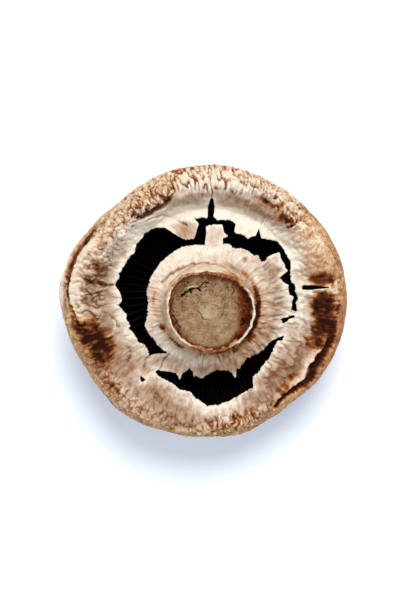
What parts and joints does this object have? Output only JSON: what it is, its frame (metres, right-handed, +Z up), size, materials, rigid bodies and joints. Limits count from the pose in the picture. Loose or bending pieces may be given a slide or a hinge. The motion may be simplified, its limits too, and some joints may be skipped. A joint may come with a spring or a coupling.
{
  "type": "portobello mushroom",
  "caption": "Large opened brown mushroom lying on its domed cap, with a trimmed stem and a torn veil over dark gills.",
  "frame": {"origin": "under the middle of the mushroom's box, on the surface that it lies on", "axes": "+Z up, out of the gills; the stem leans 9.5 degrees towards -Y and 5 degrees towards +X; +Y is the side of the cap that stands highest"},
  "size_m": [0.1004, 0.0946, 0.0553],
  "materials": {
    "cap_skin": "dry fibrous brown skin with pale flakes, tan ridges and dark bruises",
    "gill_tissue": "soft, dull, nearly black brown gill blades",
    "stem_flesh": "dried tan brown cut end with a cracked pith, cream fibrous sides",
    "veil_membrane": "matt cream membrane with fine radial ribs, browned at its torn edges"
  },
  "bodies": {
    "root": {"cap": "cap_skin", "gills": "gill_tissue", "stem": "stem_flesh", "torn_veil": "veil_membrane"}
  },
  "joints": []
}
